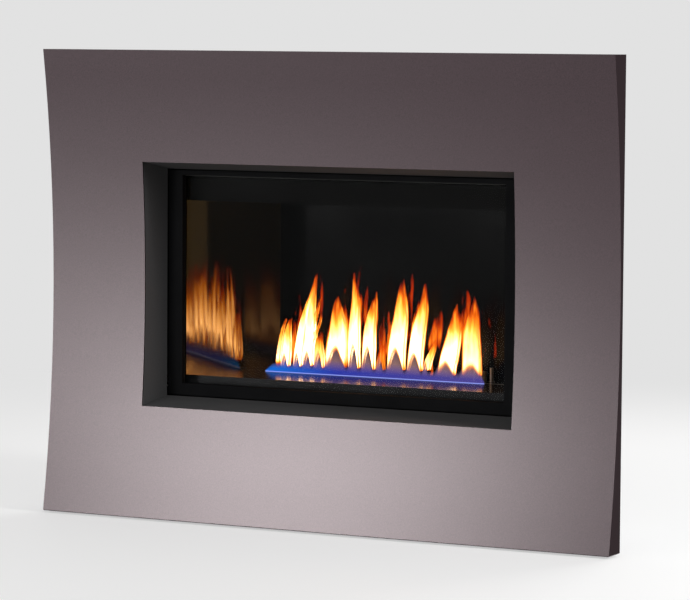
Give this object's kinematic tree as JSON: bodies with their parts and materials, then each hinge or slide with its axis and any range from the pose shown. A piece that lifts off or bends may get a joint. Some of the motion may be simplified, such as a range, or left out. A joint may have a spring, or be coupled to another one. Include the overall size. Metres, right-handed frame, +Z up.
{
  "type": "gas fireplace insert",
  "caption": "Direct-vent gas fireplace insert with a wide concave metal faceplate, a tapered black sleeve, a framed glass door, mirror-black firebox panels and a straight line burner.",
  "frame": {"origin": "on the floor under the middle of the whole object's box", "axes": "+Z up, +X to the right of someone who faces the fire, -Y out of the face towards the room"},
  "size_m": [0.918, 0.3475, 0.689],
  "materials": {
    "bronze_face": "metallic mauve-bronze, fine texture",
    "trim_black": "satin black powder coat",
    "door_black": "deep matt black enamel",
    "firebox_black": "matt high-temperature black",
    "mirror_black": "mirror-gloss black enamel",
    "back_black": "satin-gloss black enamel",
    "tray_black": "gloss black enamel",
    "clear_glass": "clear ceramic glass",
    "rope_seal": "woven glass-fibre",
    "galvanised": "galvanised sheet",
    "zinc_steel": "zinc plated",
    "burner_steel": "heat-tinted stainless",
    "vent_steel": "stainless sheet",
    "pipe_steel": "black steel pipe",
    "brass_fitting": "machined brass",
    "pilot_aluminium": "drawn tube",
    "valve_casting": "die cast",
    "ceramic": "glazed ceramic",
    "knob_plastic": "moulded black",
    "red_plastic": "moulded red",
    "rocker_plastic": "moulded black"
  },
  "bodies": {
    "insert_body": {"base_pan": "galvanised", "left_casing_panel": "galvanised", "right_casing_panel": "galvanised", "rear_casing_panel": "galvanised", "casing_top": "galvanised", "levelling_legs": "zinc_steel", "casing_screws": "zinc_steel", "stud_clips": "zinc_steel", "firebox_front_plate": "firebox_black", "door_seal": "rope_seal", "ball_catches": "zinc_steel", "firebox_floor": "firebox_black", "firebox_left_wall": "firebox_black", "firebox_right_wall": "firebox_black", "firebox_back_wall": "firebox_black", "firebox_top": "firebox_black", "left_mirror_panel": "mirror_black", "right_mirror_panel": "mirror_black", "back_mirror_panel": "back_black", "upper_baffle": "firebox_black", "burner_tray": "tray_black", "burner_tube": "burner_steel", "burner_saddles": "burner_steel", "mixer_tube": "burner_steel", "orifice_elbow": "brass_fitting", "pilot_burner": "burner_steel", "spark_electrode": "ceramic", "flame_sensor": "burner_steel", "pilot_tube": "pilot_aluminium", "gas_valve": "valve_casting", "manifold_tube": "brass_fitting", "supply_pipe": "pipe_steel", "control_panel": "firebox_black", "igniter_body": "knob_plastic", "switch_housing": "knob_plastic", "fan_control": "knob_plastic", "blower_motor": "valve_casting", "blower_housings": "galvanised", "power_inlet": "knob_plastic", "exhaust_collar": "vent_steel", "intake_collar": "vent_steel", "intake_duct": "galvanised", "intake_drop_duct": "galvanised"},
    "surround": {"faceplate": "bronze_face", "opening_sleeve": "trim_black", "faceplate_ribs": "trim_black", "spring_studs": "zinc_steel"},
    "door": {"door_frame": "door_black", "door_glass": "clear_glass", "glass_gasket": "rope_seal", "glass_clips": "zinc_steel", "hinge_pins": "zinc_steel"},
    "gas_control": {"gas_knob": "knob_plastic"},
    "flame_control": {"flame_knob": "knob_plastic"},
    "igniter": {"igniter_button": "red_plastic"},
    "burner_switch": {"switch_rocker": "rocker_plastic"},
    "fan_speed": {"fan_knob": "knob_plastic"},
    "primary_air": {"air_shutter": "burner_steel"},
    "flue_restrictor": {"restrictor_plate": "burner_steel"},
    "blower_rotor": {"blower_wheels": "valve_casting"}
  },
  "joints": [
    {"name": "surround_pull", "type": "slide", "parent": "insert_body", "child": "surround", "axis": [0, -1, 0], "range_m": [0, 0.06]},
    {"name": "door_swing", "type": "hinge", "parent": "insert_body", "child": "door", "pos_m": [0, -0.09435, 0.5085], "axis": [-1, 0, 0], "range_deg": [0, 40]},
    {"name": "gas_knob_turn", "type": "hinge", "parent": "insert_body", "child": "gas_control", "pos_m": [0.088, -0.10835, 0.08], "axis": [0, -1, 0], "range_deg": [0, 180]},
    {"name": "flame_knob_turn", "type": "hinge", "parent": "insert_body", "child": "flame_control", "pos_m": [0.132, -0.10835, 0.08], "axis": [0, -1, 0], "range_deg": [0, 140]},
    {"name": "igniter_press", "type": "slide", "parent": "insert_body", "child": "igniter", "axis": [0, 1, 0], "range_m": [0, 0.005], "stiffness_N_per_m": 600, "springref_m": -0.004},
    {"name": "rocker_press", "type": "hinge", "parent": "insert_body", "child": "burner_switch", "pos_m": [0.205, -0.10535, 0.08], "axis": [1, 0, 0], "range_deg": [0, 18]},
    {"name": "fan_knob_turn", "type": "hinge", "parent": "insert_body", "child": "fan_speed", "pos_m": [0.245, -0.10835, 0.08], "axis": [0, -1, 0], "range_deg": [0, 270]},
    {"name": "shutter_turn", "type": "hinge", "parent": "insert_body", "child": "primary_air", "pos_m": [0.11, -0.02835, 0.1905], "axis": [0, -1, 0], "range_deg": [-25, 25]},
    {"name": "restrictor_slide", "type": "slide", "parent": "insert_body", "child": "flue_restrictor", "axis": [-1, 0, 0], "range_m": [0, 0.05]},
    {"name": "blower_spin", "type": "hinge", "parent": "insert_body", "child": "blower_rotor", "pos_m": [-0.07, 0.11865, 0.076], "axis": [1, 0, 0], "continuous": true}
  ]
}
